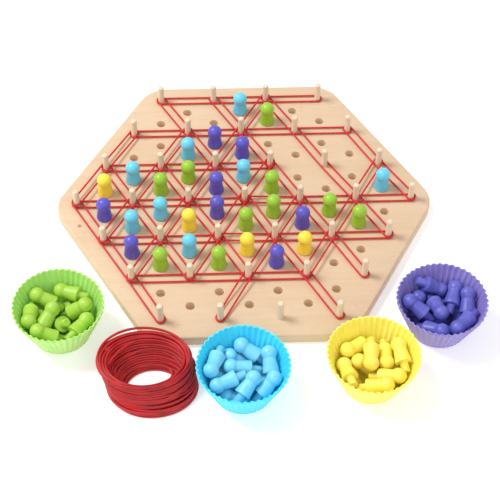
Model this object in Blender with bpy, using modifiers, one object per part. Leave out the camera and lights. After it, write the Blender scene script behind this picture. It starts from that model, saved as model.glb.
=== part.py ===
"""Rubber-band triangle game: a hexagonal wooden board with 37 glued dowel pins and 54 peg holes,
30 pawns standing in their holes, 24 rubber bands stretched over the pins along 19 lines,
four fluted silicone cups of spare pawns and a ring of spare bands.

Metres, +Z up. The origin is the centre of the board's underside, on the surface it stands on.
"""

import math

import bmesh
import bpy
from mathutils import Matrix, Vector

MM = 0.001

# Board and pins
PITCH = 45 * MM  # side of one triangle, from pin to pin
ROW = PITCH * math.sqrt(3) / 2
RINGS = 3  # pins from the centre pin to a corner pin
HALF_FLATS = 134 * MM  # centre to a side of the hexagon
CORNER_RADIUS = 25 * MM
THICKNESS = 10 * MM
EDGE_ROUND = 1.5 * MM
CORNER_STEPS, EDGE_STEPS = 5, 2
PIN_RADIUS = 2.5 * MM
PIN_HEIGHT = 18 * MM  # above the board
PIN_DOME = 1.6 * MM
PIN_TIP_RADIUS, PIN_TIP_DROP = 1.5 * MM, 0.4 * MM  # the ring of points on the dome
PIN_GLUED = 3 * MM
PIN_SIDES = 10

# Peg holes and pawns
HOLE_RADIUS = 3.6 * MM
HOLE_DEPTH = 8 * MM
HOLE_SIDES = 10
GAP = 0.3 * MM
STEM_RADIUS = 3.1 * MM
STEM_LENGTH = 7.5 * MM
SKIRT_RADIUS = 6.3 * MM
NECK_RADIUS = 4.8 * MM
HEAD_RADIUS = 5.8 * MM
HEAD_CENTRE = 14.6 * MM  # above the pawn's base
HEAD_ANGLES = (50, 15, -20)  # degrees of latitude of the head's rings
PAWN_SIDES = 8
SHARP_ANGLE = 40  # degrees, above which an edge of a turned piece is crisp

# Rubber bands
STRAND_RADIUS = 0.8 * MM
BAND_OFFSET = PIN_RADIUS + GAP + STRAND_RADIUS
LAYER = 2 * STRAND_RADIUS + GAP
ARC_STEPS = 6
INNER_ARC = 0.9  # an inner loop end is this much thinner, so that it sinks into the strands it joins
LOOP_LEG = 3 * MM

# Cups
CUP_TOP_RADIUS = 35 * MM
CUP_BASE_RADIUS = 22 * MM
CUP_HEIGHT = 33 * MM
CUP_WALL = 1.5 * MM
CUP_SIDES = 24
PILE_HEIGHT = 14.5 * MM
PILE_INSET = 2.25 * MM  # between the pile and the cup's outer wall
PILE_SIDES = 16
SPARE_SIDES = 6

# Ring of spare bands
RING_FOOT_RADII = (20.5 * MM, 33.5 * MM)  # inner and outer
RING_TOP_RADII = (29 * MM, 35 * MM)
RING_HEIGHT = 24.5 * MM
RING_ROUND = 2 * MM
RING_OVAL = 0.78  # depth over width
RING_LEAN = Vector((-7 * MM, 11 * MM, 0))  # how far its top lies from over its foot
RING_CENTRE = (-72 * MM, -172.5 * MM, 0)
RING_SIDES = 24

GREEN, BLUE, PURPLE, YELLOW = "green", "blue", "purple", "yellow"
PAINTS = {
    GREEN: ((0.29, 0.56, 0.03), 0.32),
    BLUE: ((0.11, 0.56, 0.80), 0.32),
    PURPLE: ((0.09, 0.07, 0.50), 0.32),
    YELLOW: ((0.93, 0.68, 0.02), 0.32),
}
SILICONES = {
    GREEN: ((0.33, 0.76, 0.09), 0.5),
    BLUE: ((0.02, 0.56, 0.87), 0.5),
    PURPLE: ((0.23, 0.15, 0.60), 0.5),
    YELLOW: ((0.98, 0.83, 0.04), 0.5),
}
WOOD = ((0.80, 0.62, 0.43), 0.6)
RUBBER = ((0.72, 0.02, 0.03), 0.5)

# Cells. A cell is (row below it, x of its centre in pitches); POINT_UP has its tip away from the front.
POINT_UP, POINT_DOWN = 1, 2  # thirds of a row between the row below and the centre
PAWNS = (
    (2, POINT_DOWN, 0, BLUE), (2, POINT_UP, 0.5, GREEN),
    (1, POINT_UP, -1, BLUE), (1, POINT_DOWN, -0.5, PURPLE), (1, POINT_UP, 0, PURPLE),
    (0, POINT_UP, -2.5, YELLOW), (0, POINT_DOWN, -2, BLUE), (0, POINT_UP, -1.5, GREEN),
    (0, POINT_DOWN, -1, GREEN), (0, POINT_UP, -0.5, PURPLE), (0, POINT_DOWN, 0, BLUE),
    (0, POINT_UP, 0.5, GREEN), (0, POINT_UP, 2.5, BLUE),
    (-1, POINT_DOWN, -2.5, PURPLE), (-1, POINT_UP, -2, BLUE), (-1, POINT_DOWN, -1.5, BLUE),
    (-1, POINT_UP, -1, YELLOW), (-1, POINT_DOWN, -0.5, PURPLE), (-1, POINT_UP, 0, GREEN),
    (-1, POINT_DOWN, 0.5, GREEN), (-1, POINT_UP, 1, PURPLE), (-1, POINT_DOWN, 1.5, GREEN),
    (-1, POINT_UP, 2, GREEN),
    (-2, POINT_DOWN, -2, PURPLE), (-2, POINT_UP, -1.5, GREEN), (-2, POINT_DOWN, -1, BLUE),
    (-2, POINT_UP, -0.5, GREEN), (-2, POINT_DOWN, 0, YELLOW), (-2, POINT_UP, 0.5, PURPLE),
    (-2, POINT_DOWN, 1, YELLOW),
)

# Band lines. A line is (its number, the steps of the pins that a band ends at): where there are three,
# two bands meet at the middle one. A line across has its row's number and counts its steps from its left
# end. A falling or rising line is numbered by the x where it crosses the middle row, and counts its steps
# from there towards the front.
ACROSS, FALLING, RISING = "across", "falling", "rising"
LINES = {
    ACROSS: ((3, (0, 3)), (2, (0, 4)), (1, (0, 3)), (0, (0, 3, 6)), (-1, (0, 2, 5)), (-2, (0, 3))),
    FALLING: (
        (3, (-2, 0)), (2, (-3, 1)), (1, (-3, -1, 2)), (0, (-3, 0, 3)), (-1, (-1, 2)), (-2, (-1, 2)),
        (-3, (0, 3)),
    ),
    RISING: ((-3, (-2, 0)), (-2, (-2, 1)), (-1, (-3, 0, 2)), (0, (-1, 2)), (1, (0, 3)), (2, (-1, 2))),
}
LAYERS = {ACROSS: 0, FALLING: 1, RISING: 2}

CUPS = {
    GREEN: (-142.5 * MM, -117 * MM),
    BLUE: (-7.5 * MM, -174 * MM),
    YELLOW: (86.5 * MM, -168.5 * MM),
    PURPLE: (142.5 * MM, -120.5 * MM),
}
# Spare pawns on top of each heap: x, y and z of the middle, in millimetres from the cup's foot,
# then the compass heading of the head (0 along +X, 90 away from the front) and its rise, in degrees.
SPARES = {
    GREEN: (
        (-14, 2, 18, 215, 8), (-5, -6, 18.5, 75, 20), (6, -8, 18, 262, -25), (12, 3, 19, 15, 8),
        (3, 13, 19, 80, 18),
    ),
    BLUE: (
        (-11, 10, 19, 235, -25), (-12, -7, 18, 135, 8), (2, 0, 20, 212, 5), (15, 3, 19, 112, 8),
        (8, -8, 18, 100, 12),
    ),
    YELLOW: (
        (-8, 11, 18, 190, 0), (-10, -3, 18, 196, 4), (4, 3, 20, 232, 8), (4, -10, 18, 70, 8),
        (14, -2, 18, 110, 8),
    ),
    PURPLE: (
        (-13, -4, 18, 140, 8), (-8, 10, 18, 350, 0), (0, -2, 19, 250, 18), (16, 2, 18, 80, 15),
        (8, -13, 18, 200, 4),
    ),
}


def clear_scene():
    for thing in list(bpy.data.objects):
        bpy.data.objects.remove(thing, do_unlink=True)


def collection(name):
    made = bpy.data.collections.new(name)
    bpy.context.scene.collection.children.link(made)
    return made


def material(name, colour, roughness):
    made = bpy.data.materials.new(name)
    made.use_nodes = True
    shader = made.node_tree.nodes["Principled BSDF"]
    shader.inputs["Base Color"].default_value = (*colour, 1)
    shader.inputs["Roughness"].default_value = roughness
    shader.inputs["Metallic"].default_value = 0
    return made


def add_object(name, mesh, where, surface=None, location=(0, 0, 0)):
    thing = bpy.data.objects.new(name, mesh)
    thing.location = location
    where.objects.link(thing)
    if surface is not None and not mesh.materials:
        mesh.materials.append(surface)
    return thing


def add_cutter(name, mesh, where):
    cutter = add_object(name, mesh, where)
    cutter.hide_render = True
    cutter.display_type = "WIRE"
    return cutter


def finish_mesh(name, bm):
    mesh = bpy.data.meshes.new(name)
    bm.to_mesh(mesh)
    bm.free()
    return mesh


def evaluated_mesh(thing, name):
    """The object's evaluated mesh as a new mesh, in its own space; the object is removed."""
    bpy.context.view_layer.update()
    graph = bpy.context.evaluated_depsgraph_get()
    mesh = bpy.data.meshes.new_from_object(thing.evaluated_get(graph))
    mesh.name = name
    bpy.data.objects.remove(thing, do_unlink=True)
    return mesh


def turned(name, profile, sides, where, closed=False):
    """A solid of revolution about Z. The profile is (radius, z) points, down its outer side.

    It runs from pole to pole, or round a closed section.
    """
    bm = bmesh.new()
    points = [bm.verts.new((radius, 0, z)) for radius, z in profile]
    for above, below in zip(points, points[1:]):
        bm.edges.new((above, below))
    if closed:
        bm.edges.new((points[-1], points[0]))
    guide = add_object(name, finish_mesh(name, bm), where)
    screw = guide.modifiers.new("turn", "SCREW")
    screw.steps = screw.render_steps = sides
    screw.use_merge_vertices = True
    screw.merge_threshold = 0.00001
    screw.use_smooth_shade = True
    mesh = evaluated_mesh(guide, name)
    mesh.set_sharp_from_angle(angle=math.radians(SHARP_ANGLE))
    return mesh


def joined_copies(name, mesh, places):
    """One mesh that holds a copy of the given mesh at each place."""
    bm = bmesh.new()
    for place in places:
        copy = mesh.copy()
        copy.transform(Matrix.Translation(place) if isinstance(place, Vector) else place)
        bm.from_mesh(copy)
        bpy.data.meshes.remove(copy)
    return finish_mesh(name, bm)


def boolean(thing, operation, other, name):
    modifier = thing.modifiers.new(name, "BOOLEAN")
    modifier.operation = operation
    modifier.solver = "EXACT"
    modifier.object = other


# Board


def pin_places():
    """Every pin as (row, x in pitches), row by row."""
    for row in range(RINGS, -RINGS - 1, -1):
        count = 2 * RINGS + 1 - abs(row)
        for index in range(count):
            yield row, index - (count - 1) / 2


def cell_place(row, thirds, x):
    return Vector((x * PITCH, (row + thirds / 3) * ROW, 0))


def hole_places():
    """The centre of every triangle between three pins."""
    pins = set(pin_places())
    for row in range(RINGS - 1, -RINGS - 1, -1):
        for step in range(-2 * RINGS, 2 * RINGS + 1):
            x = step / 2
            base = {(row, x - 0.5), (row, x + 0.5), (row + 1, x)}
            roof = {(row + 1, x - 0.5), (row + 1, x + 0.5), (row, x)}
            if base <= pins:
                yield cell_place(row, POINT_UP, x)
            if roof <= pins:
                yield cell_place(row, POINT_DOWN, x)


def rounded(bm, edges, setback, steps):
    bmesh.ops.bevel(
        bm, geom=edges, offset=setback, offset_type="OFFSET", segments=steps, profile=0.5, affect="EDGES"
    )


def board_slab():
    """The hexagonal slab with a side to the front, its corners and edges rounded."""
    bm = bmesh.new()
    corner = HALF_FLATS / math.cos(math.pi / 6)
    bmesh.ops.create_cone(bm, cap_ends=True, segments=6, radius1=corner, radius2=corner, depth=THICKNESS)
    bmesh.ops.rotate(bm, verts=bm.verts, cent=(0, 0, 0), matrix=Matrix.Rotation(math.pi / 6, 3, "Z"))
    bmesh.ops.translate(bm, verts=bm.verts, vec=(0, 0, THICKNESS / 2))
    upright = [edge for edge in bm.edges if abs(edge.verts[0].co.z - edge.verts[1].co.z) > THICKNESS / 2]
    setback = CORNER_RADIUS * math.tan(math.pi / 6)
    rounded(bm, upright, setback, CORNER_STEPS)
    rims = [edge for edge in bm.edges if abs(edge.verts[0].co.z - edge.verts[1].co.z) < THICKNESS / 2]
    rounded(bm, rims, EDGE_ROUND, EDGE_STEPS)
    return finish_mesh("board", bm)


def make_board(parts, cutters, wood):
    board = add_object("board_with_pins", board_slab(), parts, wood)

    bm = bmesh.new()
    bmesh.ops.create_cone(
        bm, cap_ends=True, segments=HOLE_SIDES, radius1=HOLE_RADIUS, radius2=HOLE_RADIUS, depth=2 * HOLE_DEPTH
    )
    hole = finish_mesh("hole", bm)
    top = Vector((0, 0, THICKNESS))
    holes = joined_copies("holes", hole, [place + top for place in hole_places()])
    boolean(board, "DIFFERENCE", add_cutter("hole_cutter", holes, cutters), "holes")

    pin = turned(
        "pin",
        (
            (0, PIN_HEIGHT),
            (PIN_TIP_RADIUS, PIN_HEIGHT - PIN_TIP_DROP),
            (PIN_RADIUS, PIN_HEIGHT - PIN_DOME),
            (PIN_RADIUS, -PIN_GLUED),
            (0, -PIN_GLUED),
        ),
        PIN_SIDES,
        cutters,
    )
    places = [Vector((x * PITCH, row * ROW, THICKNESS)) for row, x in pin_places()]
    boolean(board, "UNION", add_cutter("pin_stock", joined_copies("pins", pin, places), cutters), "pins")
    return board


# Pawns


def pawn_profile():
    """From the crown of the head down to the foot of the stem; z = 0 is the underside of the skirt."""
    head = []
    for angle in map(math.radians, HEAD_ANGLES):
        head.append((HEAD_RADIUS * math.cos(angle), HEAD_CENTRE + HEAD_RADIUS * math.sin(angle)))
    neck = HEAD_CENTRE - math.sqrt(HEAD_RADIUS**2 - NECK_RADIUS**2)
    return [
        (0, HEAD_CENTRE + HEAD_RADIUS),
        *head,
        (NECK_RADIUS, neck),
        (SKIRT_RADIUS, 0),
        (STEM_RADIUS, 0),
        (STEM_RADIUS, -STEM_LENGTH),
        (0, -STEM_LENGTH),
    ]


def make_pawns(parts, cutters, paints):
    meshes = {}
    for colour in (GREEN, BLUE, PURPLE, YELLOW):
        meshes[colour] = turned("pawn_" + colour, pawn_profile(), PAWN_SIDES, cutters)
        meshes[colour].materials.append(paints[colour])
    number = dict.fromkeys(meshes, 0)
    for row, thirds, x, colour in PAWNS:
        number[colour] += 1
        name = f"pawn_{colour}_{number[colour]:02d}"
        place = cell_place(row, thirds, x) + Vector((0, 0, THICKNESS + GAP))
        add_object(name, meshes[colour], parts, location=place)


# Bands


def strand(name, points, closed, radius, where):
    """A round strand along the points, as a mesh with its ends closed."""
    curve = bpy.data.curves.new(name, "CURVE")
    curve.dimensions = "3D"
    curve.bevel_depth = radius
    curve.bevel_resolution = 1
    curve.use_fill_caps = not closed
    spline = curve.splines.new("POLY")
    spline.points.add(len(points) - 1)
    for point, place in zip(spline.points, points):
        point.co = (*place, 1)
    spline.use_cyclic_u = closed
    mesh = evaluated_mesh(add_object(name, curve, where), name)
    bpy.data.curves.remove(curve)
    bm = bmesh.new()
    bm.from_mesh(mesh)
    bmesh.ops.remove_doubles(bm, verts=bm.verts, dist=0.000001)
    bm.to_mesh(mesh)
    bm.free()
    return mesh


def half_turn(centre, along, side_start):
    """Points round half a circle on the far side of a pin, from one side of the line to the other."""
    across = Vector((-along.y, along.x, 0)) * side_start
    for step in range(ARC_STEPS + 1):
        angle = math.pi * step / ARC_STEPS
        yield centre + BAND_OFFSET * (across * math.cos(angle) + along * math.sin(angle))


def line_frame(family, number):
    """The point of a line at step 0 and its direction for one pitch."""
    if family == ACROSS:
        left = -(2 * RINGS - abs(number)) / 2
        return Vector((left * PITCH, number * ROW, 0)), Vector((PITCH, 0, 0))
    slope = -1 if family == FALLING else 1
    direction = Vector((-slope * PITCH / 2, -ROW, 0))
    return Vector((number * PITCH, 0, 0)), direction


def make_bands(parts, cutters, rubber):
    for family, lines in LINES.items():
        height = THICKNESS + GAP + STRAND_RADIUS + LAYERS[family] * LAYER
        for index, (number, stops) in enumerate(lines, 1):
            name = f"band_line_{family}_{index}"
            origin, pitch = line_frame(family, number)
            origin.z = height
            along = pitch.normalized()
            first, last = origin + pitch * stops[0], origin + pitch * stops[-1]
            loop = [*half_turn(last, along, 1), *half_turn(first, -along, 1)]
            mesh = strand(name, loop, True, STRAND_RADIUS, cutters)
            band = add_object(name, mesh, parts, rubber)
            ends = [(stop, way) for stop in stops[1:-1] for way in (along, -along)]
            for end, (stop, way) in enumerate(ends, 1):
                turn = list(half_turn(origin + pitch * stop, way, 1))
                bend = [turn[0] - way * LOOP_LEG, *turn, turn[-1] - way * LOOP_LEG]
                inner = strand(f"{name}_end_{end}", bend, False, INNER_ARC * STRAND_RADIUS, cutters)
                boolean(band, "UNION", add_cutter(f"{name}_end_{end}", inner, cutters), f"end {end}")


# Cups, heaps and the ring of spare bands


def cup_radius(z):
    return CUP_BASE_RADIUS + (CUP_TOP_RADIUS - CUP_BASE_RADIUS) * z / CUP_HEIGHT


def make_cups(parts, cutters, silicones):
    profile = (
        (0, CUP_WALL),
        (cup_radius(CUP_WALL) - CUP_WALL, CUP_WALL),
        (CUP_TOP_RADIUS - CUP_WALL, CUP_HEIGHT),
        (CUP_TOP_RADIUS, CUP_HEIGHT),
        (CUP_BASE_RADIUS, 0),
        (0, 0),
    )
    for colour, (x, y) in CUPS.items():
        mesh = turned("cup_" + colour, profile, CUP_SIDES, cutters)
        add_object("cup_" + colour, mesh, parts, silicones[colour], (x, y, 0))


def spare_place(x, y, z, heading, rise):
    """The pose of a pawn from the place of its middle and the way its head points."""
    middle = (HEAD_CENTRE + HEAD_RADIUS - STEM_LENGTH) / 2
    turn = Matrix.Rotation(math.radians(heading), 4, "Z") @ Matrix.Rotation(math.radians(90 - rise), 4, "Y")
    return Matrix.Translation(Vector((x, y, z)) * MM) @ turn @ Matrix.Translation((0, 0, -middle))


def make_heaps(parts, cutters, paints):
    """Each cup's spare pawns as one body: those on top, joined to the pile beneath them."""
    floor = CUP_WALL + GAP
    pile_profile = (
        (0, PILE_HEIGHT),
        (cup_radius(PILE_HEIGHT) - PILE_INSET, PILE_HEIGHT),
        (cup_radius(floor) - PILE_INSET, floor),
        (0, floor),
    )
    for colour, (x, y) in CUPS.items():
        name = "spare_pawns_" + colour
        pile = turned(name, pile_profile, PILE_SIDES, cutters)
        heap = add_object(name, pile, parts, paints[colour], (x, y, 0))
        pawn = turned("spare_" + colour, pawn_profile(), SPARE_SIDES, cutters)
        for index, pose in enumerate(SPARES[colour], 1):
            spare = joined_copies(f"{name}_{index}", pawn, [spare_place(*pose)])
            cutter = add_cutter(f"{name}_{index}", spare, cutters)
            cutter.location = (x, y, 0)
            boolean(heap, "UNION", cutter, f"pawn {index}")


def make_spare_ring(parts, cutters, rubber):
    """The pile of spare bands as one thick oval ring, which widens upwards and leans back to the left."""
    def radius(side, z):
        foot, top = RING_FOOT_RADII[side], RING_TOP_RADII[side]
        return foot + (top - foot) * z / RING_HEIGHT

    inside, outside = 0, 1
    high = RING_HEIGHT - RING_ROUND
    section = (
        (radius(outside, RING_HEIGHT) - RING_ROUND, RING_HEIGHT),
        (radius(outside, high), high),
        (radius(outside, RING_ROUND), RING_ROUND),
        (radius(outside, 0) - RING_ROUND, 0),
        (radius(inside, 0) + RING_ROUND, 0),
        (radius(inside, RING_ROUND), RING_ROUND),
        (radius(inside, high), high),
        (radius(inside, RING_HEIGHT) + RING_ROUND, RING_HEIGHT),
    )
    mesh = turned("spare_band_ring", section, RING_SIDES, cutters, closed=True)
    for vertex in mesh.vertices:
        vertex.co.y *= RING_OVAL
        vertex.co += RING_LEAN * vertex.co.z / RING_HEIGHT
    add_object("spare_band_ring", mesh, parts, rubber, RING_CENTRE)


def main():
    clear_scene()
    parts, cutters = collection("triangle_band_game"), collection("cutters")
    wood = material("beech", *WOOD)
    rubber = material("red_rubber", *RUBBER)
    paints = {colour: material("plastic_" + colour, *look) for colour, look in PAINTS.items()}
    silicones = {colour: material("silicone_" + colour, *look) for colour, look in SILICONES.items()}
    make_board(parts, cutters, wood)
    make_pawns(parts, cutters, paints)
    make_bands(parts, cutters, rubber)
    make_cups(parts, cutters, silicones)
    make_heaps(parts, cutters, paints)
    make_spare_ring(parts, cutters, rubber)


main()
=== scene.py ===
import math
import random

import bmesh
import bpy
import numpy as np
from mathutils import Matrix, Vector


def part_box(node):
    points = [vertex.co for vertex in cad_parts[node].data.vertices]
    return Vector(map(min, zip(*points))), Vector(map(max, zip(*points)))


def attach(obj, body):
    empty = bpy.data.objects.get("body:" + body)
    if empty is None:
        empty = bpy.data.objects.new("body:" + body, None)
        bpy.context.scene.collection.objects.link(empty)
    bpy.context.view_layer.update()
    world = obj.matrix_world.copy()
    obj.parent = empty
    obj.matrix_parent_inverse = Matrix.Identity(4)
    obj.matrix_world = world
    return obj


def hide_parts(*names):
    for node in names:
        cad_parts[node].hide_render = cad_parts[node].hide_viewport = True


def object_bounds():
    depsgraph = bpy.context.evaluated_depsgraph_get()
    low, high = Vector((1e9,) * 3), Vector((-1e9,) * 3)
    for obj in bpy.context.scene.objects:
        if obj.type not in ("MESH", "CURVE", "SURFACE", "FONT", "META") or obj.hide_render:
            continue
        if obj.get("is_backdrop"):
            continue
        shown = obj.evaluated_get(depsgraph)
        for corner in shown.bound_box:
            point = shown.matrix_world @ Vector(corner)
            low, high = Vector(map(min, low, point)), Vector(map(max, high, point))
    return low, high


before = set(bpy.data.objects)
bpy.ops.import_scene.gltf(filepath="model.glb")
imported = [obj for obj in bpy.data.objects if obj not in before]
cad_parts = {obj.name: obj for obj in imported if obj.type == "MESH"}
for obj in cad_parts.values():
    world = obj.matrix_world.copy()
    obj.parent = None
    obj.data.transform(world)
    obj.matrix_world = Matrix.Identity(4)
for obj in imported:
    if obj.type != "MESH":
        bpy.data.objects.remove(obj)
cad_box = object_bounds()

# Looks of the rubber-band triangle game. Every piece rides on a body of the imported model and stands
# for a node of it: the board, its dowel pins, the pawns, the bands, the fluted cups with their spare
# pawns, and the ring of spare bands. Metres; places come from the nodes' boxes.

MM = 0.001

# Lattice and board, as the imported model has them
PITCH = 45 * MM
ROW = PITCH * math.sqrt(3) / 2
RINGS = 3
HALF_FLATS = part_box("board_with_pins")[1][1]
CORNER_RADIUS = 25 * MM
THICKNESS = 10 * MM
EDGE_ROUND = 1.6 * MM
CORNER_STEPS, EDGE_STEPS = 20, 6
BOARD_SHARP = 35  # degrees, above which an edge of the board is crisp
KNOT = (-132.2 * MM, -21.7 * MM, THICKNESS)  # a small dark knot near the left corner
HOLE_RADIUS = 3.6 * MM
HOLE_DEPTH = 8 * MM
HOLE_CHAMFER = 0.45 * MM
HOLE_TIP = 0.8 * MM  # depth of the cone that the drill leaves
HOLE_SIDES = 40
PIN_RADIUS = 2.5 * MM
PIN_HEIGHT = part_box("board_with_pins")[1][2] - THICKNESS
PIN_DOME = 1.3 * MM
PIN_SUNK = 1 * MM
PIN_UNEVEN = 0.5 * MM  # a pin may stand this much lower than the tallest
PIN_LEAN = 0.7  # degrees, either way
GLUE_HEIGHT, GLUE_REACH = 0.25 * MM, 0.12 * MM  # the bead round a pin's foot
PIN_SIDES = 28

# Pawn, heights above the underside of its skirt
HEAD_RADIUS = 5.8 * MM
HEAD_CENTRE = 14.6 * MM
SKIRT_RADIUS = 6.15 * MM
WAIST_RADIUS = 4.8 * MM
SKIRT_EDGE = 1.5 * MM  # height of the skirt's widest part
SKIRT_ROUND = 0.6 * MM
FLARE = 1.1  # above 1, the body widens mostly towards its skirt
STEM_RADIUS = 3.1 * MM
STEM_LENGTH = 7.5 * MM
STEM_FILLET = 0.15 * MM
STEM_BEVEL = 0.4 * MM
STEM_RIM, STEM_DISH = 1.6 * MM, 0.2 * MM  # width and depth of the hollow in the stem's foot
PAWN_SIDES = 40
SEAM = "seam"  # the attribute that holds each point's distance from the mould's parting plane
SEAM_EDGES = (0.05 * MM, 0.16 * MM)  # where the parting line begins to fade, and where it ends

# Bands
STRAND_RADIUS = 0.74 * MM
STRAND_SIDES = 10
STRAND_SPACING = 1.2 * MM  # between the points of a strand
BEND_SPACING = 0.6 * STRAND_SPACING  # between its points round a pin
BAND_SLACK = (0.12 * MM, 0.3 * MM)  # gap between a band and the pins it runs round
BAND_LIFT = 0.6 * MM  # from the board to the lowest bands
CROSSING = 2.08  # strand radii between the middles of strands that cross
HELD = 9 * MM  # how far from a pin a strand keeps the height that it has there
TAUT_ROUNDS, EASE_ROUNDS = 400, 30

# Cups
CUP_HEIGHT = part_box("cup_green")[1][2]
CUP_TOP_RADIUS = 35 * MM
CUP_BASE_RADIUS = 22 * MM
CUP_WALL = 1.3 * MM
CUP_LIP = CUP_WALL / 2
CUP_FOOT_ROUND = 2.2 * MM
CUP_FLOOR_ROUND = 1.6 * MM
CUP_SAG = 0.25 * MM  # how far the soft rim is out of round
CUP_SAG_TURN = 1.7  # radians, from one cup's sag to the next's
WALL_STEPS, FOOT_STEPS, LIP_STEPS = 14, 5, 6
FLUTES = 44
FLUTE_DEPTH = 1.5 * MM
FOOT_FLUTE = 0.25  # share of the flutes' depth that is left at the foot
FLUTE_BLUNTNESS = 0.03
POINTS_PER_FLUTE = 10

COLOURS = ("green", "blue", "purple", "yellow")

# Stage, light and camera
FLOOR_WHITES = ((0.85, 0.85, 0.85, 1), (0.87, 0.87, 0.87, 1))
FLOOR_HALF_SIZE = 4
FLOOR_DROP = 0.1 * MM
FLOOR_GLOW = 0.34
SKY_STRENGTH = 0.62
LIGHT_TARGET = (0, -0.05, 0)
LIGHTS = (("key", (-0.95, 0.25, 1.5), 0.7, 23), ("fill", (0.3, -1.4, 1.3), 1.6, 8))  # place, size, watts
CAMERA_ANGLES = (-3.18, 50.45, 1.13)  # degrees: round from the front (below 0 is left), up, and roll
CAMERA_TARGET, CAMERA_DISTANCE = Vector((0.0024, -0.0505, THICKNESS)), 1.0418
CAMERA_SENSOR, CAMERA_LENS = 36, 95.5  # millimetres
CAMERA_NEAR = 0.01
SEED = 7


# Colours and materials


def linear(red, green, blue):
    """A colour given as 0 to 255 screen values."""
    def one(value):
        value /= 255
        return value / 12.92 if value <= 0.04045 else ((value + 0.055) / 1.055) ** 2.4
    return (one(red), one(green), one(blue), 1.0)


WOOD_PALE = linear(221, 195, 165)
WOOD_WARM = linear(211, 180, 147)
WOOD_FLECK = linear(184, 146, 108)
WOOD_KNOT = linear(132, 88, 60)
ALONG_GRAIN = 0.16  # how much wider the marks are spaced along the grain than across it
# painted light: the hole walls get a colour paler than the board's top, to lift the shade inside the holes
HOLE_WALL_PAINTED_LIGHT = linear(236, 208, 176)
PIN_PALE = linear(236, 216, 190)
PIN_WARM = linear(220, 194, 164)
PLASTIC = {
    "green": (linear(146, 194, 40), linear(162, 206, 66)),
    "blue": (linear(98, 200, 232), linear(122, 214, 242)),
    "purple": (linear(86, 77, 184), linear(102, 95, 203)),
    "yellow": (linear(254, 220, 50), linear(255, 230, 84)),
}
SPARE_PLASTIC = {
    "green": (linear(156, 200, 60), linear(172, 212, 82)),
    "blue": (linear(112, 206, 238), linear(136, 218, 244)),
    "purple": (linear(88, 88, 182), linear(108, 110, 198)),
    "yellow": (linear(252, 228, 78), linear(253, 236, 108)),
}
SILICONE = {
    "green": (linear(172, 220, 112), linear(186, 230, 130)),
    "blue": (linear(64, 214, 250), linear(86, 222, 254)),
    "purple": (linear(140, 126, 196), linear(154, 142, 210)),
    "yellow": (linear(254, 236, 96), linear(255, 243, 122)),
}
PAWN_ROUGHNESS, SPARE_ROUGHNESS = 0.36, 0.38
RUBBER_RED = (linear(196, 24, 28), linear(214, 42, 42))
# painted shade: the ring's rubber is a darker copy of the bands' red, standing in for the shade in the
# pile's crevices and shaded sides
PILE_RED_PAINTED_SHADE = (linear(160, 10, 16), linear(196, 28, 33))


NOISE_LOW, NOISE_HIGH = 0.3, 0.7  # most of a noise texture's values lie between these


class Surface:
    """A new material with a Principled shader, and short ways to add nodes to it."""

    def __init__(self, name, roughness, specular):
        self.material = bpy.data.materials.new(name)
        self.material.use_nodes = True
        self.tree = self.material.node_tree
        self.shader = self.tree.nodes["Principled BSDF"]
        self.shader.inputs["Roughness"].default_value = roughness
        self.shader.inputs["Specular IOR Level"].default_value = specular
        place = self.tree.nodes.new("ShaderNodeTexCoord")
        self.place = place.outputs["Object"]

    def join(self, source, target):
        self.tree.links.new(source, target)

    def stretched(self, scale):
        mapping = self.tree.nodes.new("ShaderNodeMapping")
        mapping.inputs["Scale"].default_value = scale
        self.join(self.place, mapping.inputs["Vector"])
        return mapping.outputs["Vector"]

    def noise(self, scale, detail, distortion=0.0, stretch=(1, 1, 1)):
        node = self.tree.nodes.new("ShaderNodeTexNoise")
        node.inputs["Scale"].default_value = scale
        node.inputs["Detail"].default_value = detail
        node.inputs["Distortion"].default_value = distortion
        self.join(self.stretched(stretch), node.inputs["Vector"])
        return node.outputs["Fac"]

    def span(self, source, start=0.0, end=1.0, low=NOISE_LOW, high=NOISE_HIGH):
        """Turns values from low to high into values from start to end."""
        node = self.tree.nodes.new("ShaderNodeMapRange")
        for name, value in (("From Min", low), ("From Max", high), ("To Min", start), ("To Max", end)):
            node.inputs[name].default_value = value
        self.join(source, node.inputs["Value"])
        return node.outputs["Result"]

    def sum(self, first, second):
        node = self.tree.nodes.new("ShaderNodeMath")
        node.operation = "ADD"
        self.join(first, node.inputs[0])
        self.join(second, node.inputs[1])
        return node.outputs["Value"]

    def mix(self, factor, first, second):
        node = self.tree.nodes.new("ShaderNodeMix")
        node.data_type = "RGBA"
        self.join(factor, node.inputs["Factor"])
        for colour, socket in ((first, node.inputs[6]), (second, node.inputs[7])):
            if isinstance(colour, tuple):
                socket.default_value = colour
            else:
                self.join(colour, socket)
        return node.outputs[2]

    def colour(self, source):
        self.join(source, self.shader.inputs["Base Color"])

    def roughness(self, source):
        self.join(source, self.shader.inputs["Roughness"])

    def bump(self, height, distance, strength):
        node = self.tree.nodes.new("ShaderNodeBump")
        node.inputs["Distance"].default_value = distance
        node.inputs["Strength"].default_value = strength
        self.join(height, node.inputs["Height"])
        self.join(node.outputs["Normal"], self.shader.inputs["Normal"])

    def soften(self, weight, reach, tint=(1, 1, 1)):
        """Lets light in under the skin, for about the given reach."""
        self.shader.inputs["Subsurface Weight"].default_value = weight
        self.shader.inputs["Subsurface Radius"].default_value = tint
        self.shader.inputs["Subsurface Scale"].default_value = reach


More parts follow.
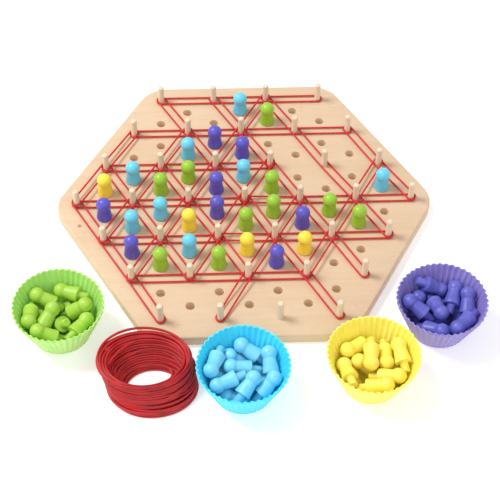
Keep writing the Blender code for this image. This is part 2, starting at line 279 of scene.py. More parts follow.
def wood(name, pale, warm, along, knot=None):
    """Pale beech: drifting bands, fine pores along the grain, short dark flecks and perhaps a pin knot.

    along is the stretch that lays the grain: small along it, large across it.
    """
    surface = Surface(name, roughness=0.55, specular=0.35)
    drift = surface.noise(1.0, detail=2.0, distortion=0.6, stretch=[26 * value for value in along])
    streaks = surface.noise(1.0, detail=4.0, distortion=0.3, stretch=[260 * value for value in along])
    pores = surface.noise(1.0, detail=2.0, stretch=[900 * value for value in along])
    grain = surface.sum(surface.span(drift, end=0.55), surface.span(streaks, end=0.45))
    fleck = surface.span(pores, end=0.5, low=0.64, high=0.76)
    colour = surface.mix(fleck, surface.mix(grain, pale, warm), WOOD_FLECK)
    if knot is not None:
        distance = surface.tree.nodes.new("ShaderNodeVectorMath")
        distance.operation = "DISTANCE"
        distance.inputs[1].default_value = knot
        surface.join(surface.place, distance.inputs[0])
        core = surface.span(distance.outputs["Value"], start=0.75, end=0.0, low=0.7 * MM, high=2.2 * MM)
        colour = surface.mix(core, colour, WOOD_KNOT)
    surface.colour(colour)
    surface.roughness(surface.span(streaks, 0.5, 0.64))
    sunken = surface.span(pores, end=-0.6, low=0.5, high=0.75)
    surface.bump(surface.sum(streaks, sunken), 0.05 * MM, 0.5)
    return surface.material


def painted_light_hole_wood():
    """The drilled walls: painted light, a colour paler than the board's top that lifts the shade in the
    holes, with the fuzz of end grain.
    """
    surface = Surface("beech_drilled", roughness=0.8, specular=0.2)
    fuzz = surface.noise(1400, detail=3.0)
    surface.colour(surface.mix(surface.span(fuzz), HOLE_WALL_PAINTED_LIGHT, WOOD_PALE))
    surface.bump(fuzz, 0.06 * MM, 0.6)
    return surface.material


def plastic(name, deep, light, roughness):
    """Satin moulded plastic with a faint mottle, an orange-peel skin and a fine parting line."""
    surface = Surface(name, roughness, specular=0.5)
    mottle = surface.noise(140, detail=3.0, distortion=0.4)
    surface.colour(surface.mix(surface.span(mottle, low=0.32, high=0.68), deep, light))
    surface.roughness(surface.span(mottle, roughness - 0.05, roughness + 0.08))
    seam = surface.tree.nodes.new("ShaderNodeAttribute")
    seam.attribute_name = SEAM
    line = surface.span(seam.outputs["Fac"], 1.0, 0.0, *SEAM_EDGES)
    skin = surface.span(surface.noise(1100, detail=2.0), end=0.35)
    surface.bump(surface.sum(skin, line), 0.05 * MM, 0.5)
    surface.soften(0.12, 0.8 * MM)
    return surface.material


def silicone(name, deep, light):
    """Soft matt silicone: a bloom of handling marks, fine tooth, and a little light through the wall."""
    surface = Surface(name, roughness=0.5, specular=0.4)
    bloom = surface.noise(55, detail=4.0, distortion=0.8)
    surface.colour(surface.mix(surface.span(bloom), deep, light))
    surface.roughness(surface.span(bloom, 0.42, 0.58))
    surface.bump(surface.noise(2600, detail=2.0), 0.03 * MM, 0.4)
    surface.soften(0.45, 1.8 * MM)
    return surface.material


def rubber(name, deep, light):
    """Extruded rubber strand: uneven tint along it, a satin skin with fine die lines."""
    surface = Surface(name, roughness=0.42, specular=0.45)
    tint = surface.noise(90, detail=4.0, distortion=0.5)
    surface.colour(surface.mix(surface.span(tint), deep, light))
    surface.roughness(surface.span(tint, 0.36, 0.5))
    surface.bump(surface.noise(2200, detail=3.0), 0.04 * MM, 0.5)
    surface.soften(0.1, 0.8 * MM, (1, 0.3, 0.25))
    return surface.material


# Meshes


def finish_mesh(name, bm, sharp=40):
    bmesh.ops.recalc_face_normals(bm, faces=bm.faces)
    mesh = bpy.data.meshes.new(name)
    bm.to_mesh(mesh)
    bm.free()
    mesh.shade_smooth()
    mesh.set_sharp_from_angle(angle=math.radians(sharp))
    return mesh


def add_piece(name, mesh, body, node, surface=None, matrix=None):
    """Links a piece into the scene, sets its place, hangs it on the body that it rides on, and hides the
    node that it stands for.
    """
    if surface is not None and not mesh.materials:
        mesh.materials.append(surface)
    piece = bpy.data.objects.new(name, mesh)
    bpy.context.scene.collection.objects.link(piece)
    if matrix is not None:
        piece.matrix_world = matrix
    bpy.context.view_layer.update()
    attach(piece, body)
    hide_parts(node)


def lathe(name, profile, sides, sharp=40):
    """A closed solid of revolution about Z. The profile is (radius, z) points from pole to pole."""
    bm = bmesh.new()
    rings = []
    for radius, z in profile:
        if radius < 1e-7:
            rings.append([bm.verts.new((0, 0, z))])
            continue
        turns = [2 * math.pi * side / sides for side in range(sides)]
        rings.append([bm.verts.new((radius * math.cos(a), radius * math.sin(a), z)) for a in turns])
    bridge(bm, rings, sides)
    return finish_mesh(name, bm, sharp)


def bridge(bm, rings, sides, closed=False):
    """Faces between neighbouring rings of points; a ring of one point is a pole."""
    pairs = list(zip(rings, rings[1:]))
    if closed:
        pairs.append((rings[-1], rings[0]))
    for above, below in pairs:
        for side in range(sides):
            after = (side + 1) % sides
            corners = [above[side % len(above)], above[after % len(above)]]
            corners += [below[after % len(below)], below[side % len(below)]]
            corners = list(dict.fromkeys(corners))
            bm.faces.new(corners)


def arc(centre, radius, start, end, steps):
    """(radius, z) points on an arc, angles in degrees from the outward direction towards +Z."""
    for step in range(steps + 1):
        angle = math.radians(start + (end - start) * step / steps)
        yield (centre[0] + radius * math.cos(angle), centre[1] + radius * math.sin(angle))


def tube(name, path, radius, sides=STRAND_SIDES):
    """A closed round tube along a closed path, with frames that don't twist in plan."""
    points = np.asarray(path, float)
    ahead = np.roll(points, -1, 0) - np.roll(points, 1, 0)
    ahead /= np.linalg.norm(ahead, axis=1, keepdims=True)
    side = np.cross(ahead, (0, 0, 1))
    side /= np.linalg.norm(side, axis=1, keepdims=True)
    up = np.cross(side, ahead)
    bm = bmesh.new()
    rings = []
    turns = [2 * math.pi * turn / sides for turn in range(sides)]
    for point, across, rise in zip(points, side, up):
        spokes = [radius * (math.cos(a) * across + math.sin(a) * rise) for a in turns]
        rings.append([bm.verts.new(point + spoke) for spoke in spokes])
    bridge(bm, rings, sides, closed=True)
    return finish_mesh(name, bm, 60)


# Board and pins


def pin_places():
    for row in range(RINGS, -RINGS - 1, -1):
        count = 2 * RINGS + 1 - abs(row)
        for index in range(count):
            yield row, index - (count - 1) / 2


def hole_places():
    """The centre of every triangle between three pins."""
    pins = set(pin_places())
    for row in range(RINGS - 1, -RINGS - 1, -1):
        for step in range(-2 * RINGS, 2 * RINGS + 1):
            x = step / 2
            if {(row, x - 0.5), (row, x + 0.5), (row + 1, x)} <= pins:
                yield x * PITCH, (row + 1 / 3) * ROW
            if {(row + 1, x - 0.5), (row + 1, x + 0.5), (row, x)} <= pins:
                yield x * PITCH, (row + 2 / 3) * ROW


def board_mesh():
    """The hexagonal slab with a side to the front, its corners and edges rounded."""
    bm = bmesh.new()
    corner = HALF_FLATS / math.cos(math.pi / 6)
    bmesh.ops.create_cone(bm, cap_ends=True, segments=6, radius1=corner, radius2=corner, depth=THICKNESS)
    bmesh.ops.rotate(bm, verts=bm.verts, cent=(0, 0, 0), matrix=Matrix.Rotation(math.pi / 6, 3, "Z"))
    bmesh.ops.translate(bm, verts=bm.verts, vec=(0, 0, THICKNESS / 2))
    upright = [edge for edge in bm.edges if abs(edge.verts[0].co.z - edge.verts[1].co.z) > THICKNESS / 2]
    setback = CORNER_RADIUS * math.tan(math.pi / 6)
    bmesh.ops.bevel(
        bm, geom=upright, offset=setback, offset_type="OFFSET", segments=CORNER_STEPS, profile=0.5,
        affect="EDGES",
    )
    rims = [edge for edge in bm.edges if abs(edge.verts[0].co.z - edge.verts[1].co.z) < THICKNESS / 2]
    bmesh.ops.bevel(
        bm, geom=rims, offset=EDGE_ROUND, offset_type="OFFSET", segments=EDGE_STEPS, profile=0.5,
        affect="EDGES",
    )
    return finish_mesh("board", bm, BOARD_SHARP)


def drill_mesh():
    """One drill for every peg hole: a chamfered mouth, a straight bore and the cone of the drill's tip."""
    above = 1 * MM
    profile = (
        (0, THICKNESS + above),
        (HOLE_RADIUS + HOLE_CHAMFER + above, THICKNESS + above),
        (HOLE_RADIUS, THICKNESS - HOLE_CHAMFER),
        (HOLE_RADIUS, THICKNESS - HOLE_DEPTH + HOLE_TIP),
        (0, THICKNESS - HOLE_DEPTH),
    )
    drill = lathe("drill", profile, HOLE_SIDES)
    bm = bmesh.new()
    for x, y in hole_places():
        copy = drill.copy()
        copy.transform(Matrix.Translation((x, y, 0)))
        bm.from_mesh(copy)
        bpy.data.meshes.remove(copy)
    return finish_mesh("drills", bm)


def make_board(board_wood, drilled_painted_light):
    mesh = board_mesh()
    mesh.materials.append(board_wood)
    mesh.materials.append(drilled_painted_light)
    board = bpy.data.objects.new("hexagonal_board", mesh)
    drills = drill_mesh()
    drills.materials.append(board_wood)
    drills.materials.append(drilled_painted_light)
    for face in drills.polygons:
        face.material_index = 1
    cutter = bpy.data.objects.new("drills", drills)
    for thing in (board, cutter):
        bpy.context.scene.collection.objects.link(thing)
    cut = board.modifiers.new("holes", "BOOLEAN")
    cut.object = cutter
    bpy.context.view_layer.update()
    graph = bpy.context.evaluated_depsgraph_get()
    bored = bpy.data.meshes.new_from_object(board.evaluated_get(graph))
    for thing in (board, cutter):
        bpy.data.objects.remove(thing, do_unlink=True)
    bored.set_sharp_from_angle(angle=math.radians(BOARD_SHARP))
    add_piece("hexagonal_board", bored, "board", "board_with_pins")


def make_pins(pin_wood, chance):
    """Dowels with rounded tips, each a little off in height and lean, as glued ones are."""
    for number, (row, x) in enumerate(pin_places(), 1):
        height = PIN_HEIGHT - chance.uniform(0, PIN_UNEVEN)
        profile = [(0, height)]
        profile += list(arc((PIN_RADIUS - PIN_DOME, height - PIN_DOME), PIN_DOME, 90, 0, 6))
        profile += [(PIN_RADIUS, GLUE_HEIGHT), (PIN_RADIUS + GLUE_REACH, 0)]
        profile += [(PIN_RADIUS, -PIN_SUNK), (0, -PIN_SUNK)]
        name = f"dowel_pin_{number:02d}"
        mesh = lathe(name, profile, PIN_SIDES)
        lean = Matrix.Rotation(math.radians(chance.uniform(-PIN_LEAN, PIN_LEAN)), 4, "X")
        lean @= Matrix.Rotation(math.radians(chance.uniform(-PIN_LEAN, PIN_LEAN)), 4, "Y")
        spin = Matrix.Rotation(chance.uniform(0, 2 * math.pi), 4, "Z")
        place = Matrix.Translation((x * PITCH, row * ROW, THICKNESS)) @ lean @ spin
        add_piece(name, mesh, "board", "board_with_pins", pin_wood, place)


# Pawns


def pawn_profile():
    """From the crown down to the foot of the stem; z = 0 is the underside of the skirt."""
    neck_angle = -math.degrees(math.acos(WAIST_RADIUS / HEAD_RADIUS))
    head = list(arc((0, HEAD_CENTRE), HEAD_RADIUS, 90, neck_angle, 18))
    neck_z = head[-1][1]
    steps = 10
    body = []
    for step in range(1, steps + 1):
        part = step / steps
        body.append((
            WAIST_RADIUS + (SKIRT_RADIUS - WAIST_RADIUS) * part**FLARE,
            neck_z - STEM_FILLET + (SKIRT_EDGE - neck_z) * part,
        ))
    foot = list(arc((SKIRT_RADIUS - SKIRT_ROUND, SKIRT_ROUND), SKIRT_ROUND, 0, -90, 5))
    stem = [
        (STEM_RADIUS + STEM_FILLET, 0),
        (STEM_RADIUS, -STEM_FILLET),
        (STEM_RADIUS, -STEM_LENGTH + STEM_BEVEL),
        (STEM_RADIUS - STEM_BEVEL, -STEM_LENGTH),
        (STEM_RADIUS - STEM_RIM, -STEM_LENGTH),
        (STEM_RADIUS - STEM_RIM - STEM_FILLET, -STEM_LENGTH + STEM_DISH),
        (0, -STEM_LENGTH + STEM_DISH),
    ]
    return [(0, HEAD_CENTRE + HEAD_RADIUS), *head[1:], *body, *foot, *stem]


def pawn_mesh(name, turn):
    """A pawn's mesh turned by a matrix, with its mould's seam marked."""
    mesh = lathe(name, pawn_profile(), PAWN_SIDES, 50)
    seam = mesh.attributes.new(SEAM, "FLOAT", "POINT")
    seam.data.foreach_set("value", [abs(vertex.co.y) for vertex in mesh.vertices])
    mesh.transform(turn)
    return mesh


def make_pawns(paints, chance):
    """The pawns that stand in the board's holes."""
    for node in sorted(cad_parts):
        if not node.startswith("pawn_"):
            continue
        colour = node.split("_")[1]
        low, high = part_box(node)
        middle = Vector(((low[0] + high[0]) / 2, (low[1] + high[1]) / 2, low[2] + STEM_LENGTH))
        turn = Matrix.Rotation(chance.uniform(0, 2 * math.pi), 4, "Z")
        mesh = pawn_mesh("moulded_" + node, turn)
        place = Matrix.Translation(middle)
        add_piece("moulded_" + node, mesh, node, node, paints[colour], place)


# Bands

# Pitches from a line's left or far end to the pin where its two bands meet
MEETINGS = {
    "band_line_across_4": 3,
    "band_line_across_5": 2,
    "band_line_falling_3": 2,
    "band_line_falling_4": 3,
    "band_line_rising_3": 3,
}
DIRECTIONS = {
    "across": Vector((1, 0, 0)),
    "falling": Vector((0.5, -math.sqrt(3) / 2, 0)),
    "rising": Vector((-0.5, -math.sqrt(3) / 2, 0)),
}


def band_runs():
    """Every band as (name, node, first pin, last pin), pins in plan, in the order they are laid."""
    for family in DIRECTIONS:
        along = DIRECTIONS[family]
        nodes = sorted(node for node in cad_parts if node.startswith("band_line_" + family))
        for node in nodes:
            low, high = (Vector(corner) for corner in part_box(node))
            middle = (low + high) / 2
            reach = (high - low).x if family == "across" else (high - low).y / abs(along.y)
            pitches = int(reach / PITCH)
            first = middle - along * pitches * PITCH / 2
            stops = [0, MEETINGS[node], pitches] if node in MEETINGS else [0, pitches]
            for start, stop, letter in zip(stops, stops[1:], "ab"):
                name = node.replace("line_", "") + "_" + letter
                yield name, node, (first + along * start * PITCH).xy, (first + along * stop * PITCH).xy


def band_plan(first, last, offset):
    """The points of a band's closed plan round two pins, the offset away from their middles."""
    along = (last - first).normalized()
    across = Vector((-along.y, along.x))
    straight = (last - first).length
    turn = math.pi * offset
    steps = round(straight / STRAND_SPACING)
    bend = round(turn / BEND_SPACING)
    points = [first - across * offset + along * straight * step / steps for step in range(steps)]
    for step in range(bend):
        angle = math.pi * step / bend
        points.append(last + offset * (-across * math.cos(angle) + along * math.sin(angle)))
    points += [last + across * offset - along * straight * step / steps for step in range(steps)]
    for step in range(bend):
        angle = math.pi * step / bend
        points.append(first + offset * (across * math.cos(angle) - along * math.sin(angle)))
    return np.array([tuple(point) for point in points])


def smoothed(values, times):
    """Values all round a loop, each eased towards its neighbours."""
    for _ in range(times):
        values = (np.roll(values, 1, -1) + 2 * values + np.roll(values, -1, -1)) / 4
    return values


def stack_heights(plan, laid, pins):
    """The height of each point of a band that is pressed down over the strands already laid.

    Between pins it runs straight, and at a pin it passes over whatever lies there.
    """
    thick = CROSSING * STRAND_RADIUS
    bed = THICKNESS + STRAND_RADIUS + BAND_LIFT
    least = np.full(len(plan), bed)
    if laid:
        below = np.vstack(laid)
        gap = np.linalg.norm(plan[:, None, :] - below[None, :, :2], axis=2)
        lift = np.where(gap < thick, below[None, :, 2] + np.sqrt(np.clip(thick**2 - gap**2, 0, None)), 0)
        least = np.maximum(least, lift.max(axis=1))
    near = np.linalg.norm(plan[:, None, :] - pins[None, :, :], axis=2) < HELD
    held = least.copy()
    for pin in range(len(pins)):
        if near[:, pin].any():
            held[near[:, pin]] = np.maximum(held[near[:, pin]], least[near[:, pin]].max())
    free = ~near.any(axis=1)
    heights = held
    for _ in range(TAUT_ROUNDS):
        heights = np.where(free, (np.roll(heights, 1) + np.roll(heights, -1)) / 2, heights)
    for _ in range(EASE_ROUNDS):
        heights = np.maximum(smoothed(heights, 2), least)
    return heights


def make_bands(surface, chance):
    """Every band on the board, each laid over those before it."""
    pins = np.array([(x * PITCH, row * ROW) for row, x in pin_places()])
    laid = []
    family_bodies = {"across": "bands_across", "falling": "bands_falling"}
    for name, node, first, last in band_runs():
        offset = PIN_RADIUS + STRAND_RADIUS + chance.uniform(*BAND_SLACK)
        plan = band_plan(first, last, offset)
        heights = stack_heights(plan, laid, pins)
        path = np.column_stack((plan, heights))
        laid.append(path)
        mesh = tube(name, path, STRAND_RADIUS)
        body = family_bodies.get(node.split("_")[2], node)
        add_piece(name, mesh, body, node, surface)


# Cups


def flute(angle):
    """From -1 in a groove to +1 on a rib; ribs are round and grooves narrow."""
    wave = abs(math.sin(FLUTES * angle / 2))
    return 2 * math.sqrt(wave * wave + FLUTE_BLUNTNESS) / math.sqrt(1 + FLUTE_BLUNTNESS) - 1


def cup_mesh(name, phase):
    """A fluted baking cup as one closed shell: outside, rounded lip, inside and floor."""
    sides = FLUTES * POINTS_PER_FLUTE
    angles = [2 * math.pi * side / sides for side in range(sides)]
    reach = CUP_TOP_RADIUS - CUP_BASE_RADIUS

    def wall(z, inward):
        """Radii of the wall at a height, moved inward from the outer skin."""
        part = z / CUP_HEIGHT
        depth = FLUTE_DEPTH * (FOOT_FLUTE + (1 - FOOT_FLUTE) * part)
        mean = CUP_BASE_RADIUS + reach * part - depth / 2 - inward
        sag = CUP_SAG * part
        return [
            mean - sag * (1 - math.cos(3 * angle + phase)) + flute(angle) * depth / 2
            for angle in angles
        ]

    def ring(bm, radii, z):
        return [bm.verts.new((r * math.cos(a), r * math.sin(a), z)) for r, a in zip(radii, angles)]

    bm = bmesh.new()
    rings = [[bm.verts.new((0, 0, 0))]]
    foot = CUP_BASE_RADIUS - CUP_FOOT_ROUND
    rings.append(ring(bm, [foot * 0.8] * sides, 0))
    rings.append(ring(bm, [foot] * sides, 0))
    heel = wall(CUP_FOOT_ROUND, 0)
    for step in range(1, FOOT_STEPS):
        angle = math.radians(90 * step / FOOT_STEPS)
        blend = math.sin(angle)
        radii = [foot + (outer - foot) * blend for outer in heel]
        rings.append(ring(bm, radii, CUP_FOOT_ROUND * (1 - math.cos(angle))))
    top = CUP_HEIGHT - CUP_LIP
    for step in range(WALL_STEPS + 1):
        z = CUP_FOOT_ROUND + (top - CUP_FOOT_ROUND) * step / WALL_STEPS
        rings.append(ring(bm, wall(z, 0), z))
    for step in range(1, LIP_STEPS):
        angle = math.radians(180 * step / LIP_STEPS)
        radii = wall(top, CUP_LIP * (1 - math.cos(angle)))
        rings.append(ring(bm, radii, top + CUP_LIP * math.sin(angle)))
    floor = CUP_WALL
    for step in range(WALL_STEPS + 1):
        z = top - (top - floor - CUP_FLOOR_ROUND) * step / WALL_STEPS
        rings.append(ring(bm, wall(z, CUP_WALL), z))
    hem = wall(floor + CUP_FLOOR_ROUND, CUP_WALL)
    inner_foot = foot - CUP_WALL
    for step in range(1, FOOT_STEPS):
        angle = math.radians(90 * step / (FOOT_STEPS - 1))
        radii = [inner_foot + (inner - inner_foot) * math.cos(angle) for inner in hem]
        rings.append(ring(bm, radii, floor + CUP_FLOOR_ROUND * (1 - math.sin(angle))))
    rings.append([bm.verts.new((0, 0, floor))])
    bridge(bm, rings, sides)
    return finish_mesh(name, bm, 60)


def make_cups(silicones):
    for index, colour in enumerate(COLOURS):
        low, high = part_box("cup_" + colour)
        centre = Vector(((low[0] + high[0]) / 2, (low[1] + high[1]) / 2, 0))
        mesh = cup_mesh("fluted_cup_" + colour, CUP_SAG_TURN * index)
        add_piece(
            "fluted_cup_" + colour, mesh, "cup_" + colour, "cup_" + colour,
            silicones[colour], Matrix.Translation(centre),
        )


# Spare pawns. Each is x, y and z of its middle, in millimetres from the cup's foot, then the heading of
# its head (0 along +X, 90 away from the front) and the head's rise, in degrees. They are settled below.
SPARES = {
    "green": (
        (-15, 2, 18, 215, 10), (-5, -6, 19, 75, 25), (6, -8, 18, 262, -35), (14, 3, 19, 15, 12),
        (3, 15, 19, 80, 30), (-9, -16, 16, 190, 10), (12, -15, 15, 20, 5), (-8, 13, 16, 150, 0),
    ),
    "blue": (
        (-12, 12, 20, 235, -32), (-13, -8, 18, 135, 10), (2, 0, 20, 212, 5), (17, 3, 19, 112, 8),
        (8, -9, 18, 100, 15), (5, 12, 17, 190, 0), (13, -9, 17, 100, 25), (-4, -18, 15, 170, 0),
    ),
    "yellow": (
        (-9, 11, 18, 190, 0), (-12, -3, 18, 196, 4), (4, 3, 20, 232, 8), (4, -12, 18, 70, 8),
        (15, -2, 18, 110, 10), (17, 9, 18, 200, 0), (-14, -12, 16, 160, 0), (14, -15, 15, 315, 0),
    ),
    "purple": (
        (-15, -4, 18, 140, 8), (-8, 11, 18, 350, 0), (0, -2, 20, 250, 20), (18, 2, 18, 80, 18),
        (9, -14, 18, 200, 4), (9, 6, 19, 95, 45), (-6, -15, 16, 330, 0), (-17, 7, 16, 60, 0),
    ),
}
# Those beneath, round the floor
UNDER_SPARES = (
    (11.5, 0, 7, 80, 0), (0, 11.5, 7, 170, 0), (-11.5, 0, 7, 260, 0), (0, -11.5, 7, 350, 0),
)
# Balls along a pawn, as height and radius, that stand for it while the heap settles
BALLS = (
    (14.6, 5.8), (11.5, 5.1), (8.4, 5.4), (5.4, 5.8), (2.9, 6.2), (0.9, 6.15), (-2.8, 3.4), (-5.7, 3.3),
)
SETTLE_ROUNDS, QUICK_ROUNDS = 1600, 200
SETTLE_PUSH = 0.45  # share of an overlap that each of two balls gives way by in a round
SETTLE_SINK, SINKING = 0.04, 0.7  # millimetres that a pawn sinks in a round, and the share of rounds it does
BALL_GAP = 0.1  # millimetres between balls of two pawns, and under the lowest
HEADROOM = 1.6  # millimetres between the heap and the cup's rim
FLUTE_ROOM = 0.8  # share of the flutes' depth that the heap stays clear of
TURN_HOLD = 12.0  # how firmly a pawn keeps from spinning about itself


def pawn_axes(heading, rise):
    turn = Matrix.Rotation(math.radians(heading), 3, "Z") @ Matrix.Rotation(math.radians(90 - rise), 3, "Y")
    return np.array(turn)


def settled(spares):
    """Poses of the heap's pawns, pushed apart and into the cup. A little overlap can remain."""
    heights = np.array([height for height, _ in BALLS])
    radii = np.array([radius for _, radius in BALLS])
    middle = (HEAD_CENTRE + HEAD_RADIUS - STEM_LENGTH) / 2 / MM
    local = np.column_stack((np.zeros(len(BALLS)), np.zeros(len(BALLS)), heights - middle))
    local_middle = local.mean(axis=0)
    poses = [*spares, *UNDER_SPARES]
    places = np.array([pose[:3] for pose in poses], float)
    turns = np.array([pawn_axes(*pose[3:]) for pose in poses])
    count, many = len(poses), len(BALLS)
    owner = np.repeat(np.arange(count), many)
    size = np.tile(radii, count)
    reach = size[:, None] + size[None, :] + BALL_GAP
    apart = owner[:, None] != owner[None, :]
    slope = (CUP_TOP_RADIUS - CUP_BASE_RADIUS) / CUP_HEIGHT
    tilt = math.hypot(1, slope)
    base = (CUP_BASE_RADIUS - CUP_WALL - FLUTE_DEPTH * FLUTE_ROOM) / MM
    floor = CUP_WALL / MM + BALL_GAP
    ceiling = CUP_HEIGHT / MM - HEADROOM
    rounds = SETTLE_ROUNDS
    for number in range(rounds):
        goal = (places[:, None, :] + np.einsum("pij,bj->pbi", turns, local)).reshape(-1, 3)
        way = goal[:, None, :] - goal[None, :, :]
        gap = np.linalg.norm(way, axis=2) + 1e-9
        push = np.where(apart & (gap < reach), (reach - gap) / gap * SETTLE_PUSH, 0)
        goal += (way * push[:, :, None]).sum(axis=1)
        goal[:, 2] -= SETTLE_SINK if number < SINKING * rounds else 0
        radial = np.hypot(goal[:, 0], goal[:, 1]) + 1e-9
        over = np.clip(radial - (base + slope * goal[:, 2] - size * tilt), 0, None)
        goal[:, :2] -= goal[:, :2] * (over / radial)[:, None]
        goal[:, 2] = np.clip(goal[:, 2], floor + size, ceiling - size)
        goal = goal.reshape(count, many, 3)
        centre = goal.mean(axis=1)
        spread = np.einsum("pbi,bj->pij", goal - centre[:, None, :], local - local_middle)
        # The chain of balls is straight, so the old turn keeps it from spinning about itself.
        spread += turns @ np.diag((TURN_HOLD, TURN_HOLD, 0.0))
        left, _, right = np.linalg.svd(spread)
        flip = np.tile(np.eye(3), (count, 1, 1))
        flip[:, 2, 2] = np.linalg.det(left @ right)
        turns = left @ flip @ right
        places = centre - turns @ local_middle
    return places * MM, turns, middle * MM


def make_spares(paints, chance):
    """The heap of spare pawns in each cup."""
    for colour in COLOURS:
        low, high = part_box("cup_" + colour)
        foot = Vector(((low[0] + high[0]) / 2, (low[1] + high[1]) / 2, 0))
        places, turns, middle = settled(SPARES[colour])
        node = "spare_pawns_" + colour
        for number, (place, turn) in enumerate(zip(places, turns), 1):
            spin = Matrix.Rotation(chance.uniform(0, 2 * math.pi), 4, "Z")
            pose = Matrix(turn.tolist()).to_4x4() @ Matrix.Translation((0, 0, -middle)) @ spin
            name = f"spare_pawn_{colour}_{number:02d}"
            mesh = pawn_mesh(name, pose)
            place = Matrix.Translation(foot + Vector(place))
            add_piece(name, mesh, node, node, paints[colour], place)


# Ring of spare bands

PILE_FOOT_RADII = (20.5 * MM, 33.5 * MM)  # inner and outer
PILE_TOP_RADII = (28.6 * MM, 34.6 * MM)
PILE_OVAL = 0.77  # depth over width
PILE_LEAN = Vector((-6.6 * MM, 11 * MM, 0))  # how far its top lies from over its foot
PILE_STRAND = 0.98 * MM  # slack bands are thicker than stretched ones
PILE_COLUMNS = 4
PILE_TIERS = 15
BUNDLE = 4  # tiers whose bands run together
BUNDLE_TILTS = (0.05, 0.22)  # shares of the pile's height
BAND_WAVE = 0.02  # share of the pile's height
STACK_EASE = 16  # rounds that ease the bands over one another
RIM_SINK, RIM_WAVE = (0.03, 0.09), 0.04  # shares of the pile's height that a column's top is down by
COLUMN_SCATTER = (-0.34, 0.2)  # columns
PILE_CLEARANCE = 0.5 * MM
PILE_ENDS = 2.1  # strand radii of the pile's height that its lowest and highest strands take up
PILE_WOBBLE = 0.25 * MM
PILE_SIDES, PILE_STEPS = 8, 144
# Loops that stand off the pile. Each is its level (0 at the foot, 1 at the top), its place across the
# wall (0 inside, 1 outside), then its bulges: how far out, where round the pile and how wide, in degrees.
STRAYS = (
    (1.0, 0.9, ((3.4 * MM, 108, 60),)),
    (0.93, 1.0, ((2.4 * MM, 155, 38), (1.6 * MM, 20, 22))),
    (0.80, 0.1, ((-3.0 * MM, 150, 30),)),
    (0.15, 0.0, ((-17 * MM, 350, 42),)),
    (0.55, 1.0, ((2.2 * MM, 25, 28),)),
    (0.16, 1.0, ((1.5 * MM, 245, 45),)),
)


def pile_levels(chance):
    """The level of every band of one column, all round: bands are tilted, and stack where they cross."""
    angles = np.linspace(0, 2 * math.pi, PILE_STEPS, endpoint=False)
    wanted = []
    for tier in range(PILE_TIERS):
        if tier % BUNDLE == 0:
            tilt, heading = chance.uniform(*BUNDLE_TILTS), chance.uniform(0, 2 * math.pi)
        own = BAND_WAVE * np.sin(2 * angles + chance.uniform(0, 2 * math.pi))
        wanted.append((tier + 0.5) / PILE_TIERS + tilt * np.sin(angles + heading) + own)
    order = np.argsort(np.argsort(np.array(wanted), axis=0), axis=0) / (PILE_TIERS - 1)
    order = smoothed(order, STACK_EASE)
    sunk = chance.uniform(*RIM_SINK) + RIM_WAVE * np.sin(angles + chance.uniform(0, 2 * math.pi))
    return order * (1 - sunk)


def pile_loop(number, foot, height, levels, across, bulges, chance, surface):
    """One spare band of the pile, a closed loop at a level and a place across the wall, all round."""
    path = []
    phases = [chance.uniform(0, 2 * math.pi) for _ in range(2)]
    for step in range(PILE_STEPS):
        angle = 2 * math.pi * step / PILE_STEPS
        level = levels[step]
        inner, outer = (
            low + (high - low) * level for low, high in zip(PILE_FOOT_RADII, PILE_TOP_RADII)
        )
        inner += PILE_STRAND
        outer -= PILE_STRAND + PILE_CLEARANCE
        radius = inner + (outer - inner) * across
        radius += PILE_WOBBLE * (math.sin(2 * angle + phases[0]) + math.sin(3 * angle + phases[1]))
        for out, where, wide in bulges:
            turn = (math.degrees(angle) - where + 180) % 360 - 180
            radius += out * math.exp(-((turn / wide) ** 2))
        path.append((
            foot.x + PILE_LEAN.x * level + radius * math.cos(angle),
            foot.y + PILE_LEAN.y * level + PILE_OVAL * radius * math.sin(angle),
            PILE_STRAND + (height - PILE_ENDS * PILE_STRAND) * level,
        ))
    name = f"spare_band_{number:02d}"
    mesh = tube(name, path, PILE_STRAND, PILE_SIDES)
    add_piece(name, mesh, "spare_band_ring", "spare_band_ring", surface)


def make_spare_ring(surface, chance):
    """Spare bands gathered in a leaning oval ring that widens upwards, with a few loops standing off."""
    low, high = (Vector(corner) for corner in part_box("spare_band_ring"))
    foot = Vector((high.x - PILE_FOOT_RADII[1], low.y + PILE_OVAL * PILE_FOOT_RADII[1], 0))
    number = 0
    for column in range(PILE_COLUMNS):
        order = pile_levels(chance)
        for levels in order:
            number += 1
            across = (column + chance.uniform(*COLUMN_SCATTER)) / (PILE_COLUMNS - 1)
            pile_loop(number, foot, high.z, levels, min(1, max(0, across)), (), chance, surface)
    for level, across, bulges in STRAYS:
        number += 1
        pile_loop(number, foot, high.z, [level] * PILE_STEPS, across, bulges, chance, surface)


# Stage, light and camera


def make_stage():
    """A plain white floor, a hair below the part."""
    bm = bmesh.new()
    bmesh.ops.create_grid(bm, x_segments=2, y_segments=2, size=FLOOR_HALF_SIZE)
    mesh = finish_mesh("floor", bm)
    floor = Surface("white_floor", roughness=0.9, specular=0.1)
    floor.colour(floor.mix(floor.noise(30, detail=3.0), *FLOOR_WHITES))
    floor.shader.inputs["Emission Color"].default_value = (1, 1, 1, 1)
    floor.shader.inputs["Emission Strength"].default_value = FLOOR_GLOW
    mesh.materials.append(floor.material)
    thing = bpy.data.objects.new("floor", mesh)
    thing.location.z = -FLOOR_DROP
    bpy.context.scene.collection.objects.link(thing)
    thing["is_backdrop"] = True


def add_light(name, place, size, power):
    lamp = bpy.data.lights.new(name, "AREA")
    lamp.shape = "DISK"
    lamp.size = size
    lamp.energy = power
    thing = bpy.data.objects.new(name, lamp)
    thing.location = place
    thing.rotation_euler = (Vector(LIGHT_TARGET) - Vector(place)).to_track_quat("-Z", "Y").to_euler()
    bpy.context.scene.collection.objects.link(thing)


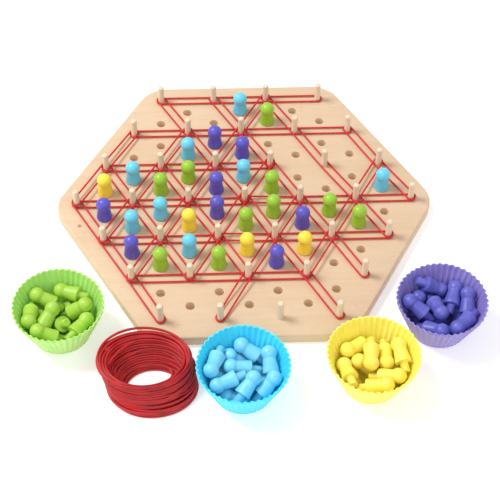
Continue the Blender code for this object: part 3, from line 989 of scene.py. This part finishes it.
def make_light():
    """Soft studio light from all round, with a key lamp at the left and a weak fill at the front."""
    world = bpy.data.worlds.new("studio")
    world.use_nodes = True
    sky = world.node_tree.nodes["Background"]
    sky.inputs["Color"].default_value = (1, 1, 1, 1)
    sky.inputs["Strength"].default_value = SKY_STRENGTH
    bpy.context.scene.world = world
    for light in LIGHTS:
        add_light(*light)


def make_camera():
    """The camera looks down at the set from a little to the left of its front."""
    azimuth, elevation, roll = (math.radians(angle) for angle in CAMERA_ANGLES)
    back = Vector((
        math.sin(azimuth) * math.cos(elevation),
        -math.cos(azimuth) * math.cos(elevation),
        math.sin(elevation),
    ))
    right = (-back).cross(Vector((0, 0, 1))).normalized()
    up = back.cross(right)
    turned_right = math.cos(roll) * right + math.sin(roll) * up
    turned_up = -math.sin(roll) * right + math.cos(roll) * up
    lens = bpy.data.cameras.new("camera")
    lens.sensor_width = CAMERA_SENSOR
    lens.lens = CAMERA_LENS
    lens.clip_start = CAMERA_NEAR
    camera = bpy.data.objects.new("camera", lens)
    axes = Matrix((turned_right, turned_up, back)).transposed().to_4x4()
    camera.matrix_world = Matrix.Translation(CAMERA_TARGET + back * CAMERA_DISTANCE) @ axes
    bpy.context.scene.collection.objects.link(camera)
    bpy.context.scene.camera = camera


def main():
    make_camera()
    make_light()
    make_stage()
    bpy.context.scene.view_settings.view_transform = "Standard"
    paints = {
        colour: plastic("plastic_" + colour, *PLASTIC[colour], PAWN_ROUGHNESS) for colour in COLOURS
    }
    spare_paints = {
        colour: plastic("plastic_spare_" + colour, *SPARE_PLASTIC[colour], SPARE_ROUGHNESS)
        for colour in COLOURS
    }
    silicones = {colour: silicone("silicone_" + colour, *SILICONE[colour]) for colour in COLOURS}
    chance = random.Random(SEED)
    # the hole walls' material carries painted light
    make_board(wood("beech_board", WOOD_PALE, WOOD_WARM, (ALONG_GRAIN, 1.0, 1.0), KNOT), painted_light_hole_wood())
    make_pins(wood("beech_dowel", PIN_PALE, PIN_WARM, (1.0, 1.0, ALONG_GRAIN)), chance)
    make_pawns(paints, chance)
    make_bands(rubber("red_rubber", *RUBBER_RED), chance)
    make_cups(silicones)
    make_spares(spare_paints, chance)
    # the ring's rubber is darkened with painted shade
    make_spare_ring(rubber("red_rubber_pile", *PILE_RED_PAINTED_SHADE), chance)


main()

boxes = {"cad": cad_box, "visual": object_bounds()}
{name: [list(corner) for corner in box] for name, box in boxes.items()}
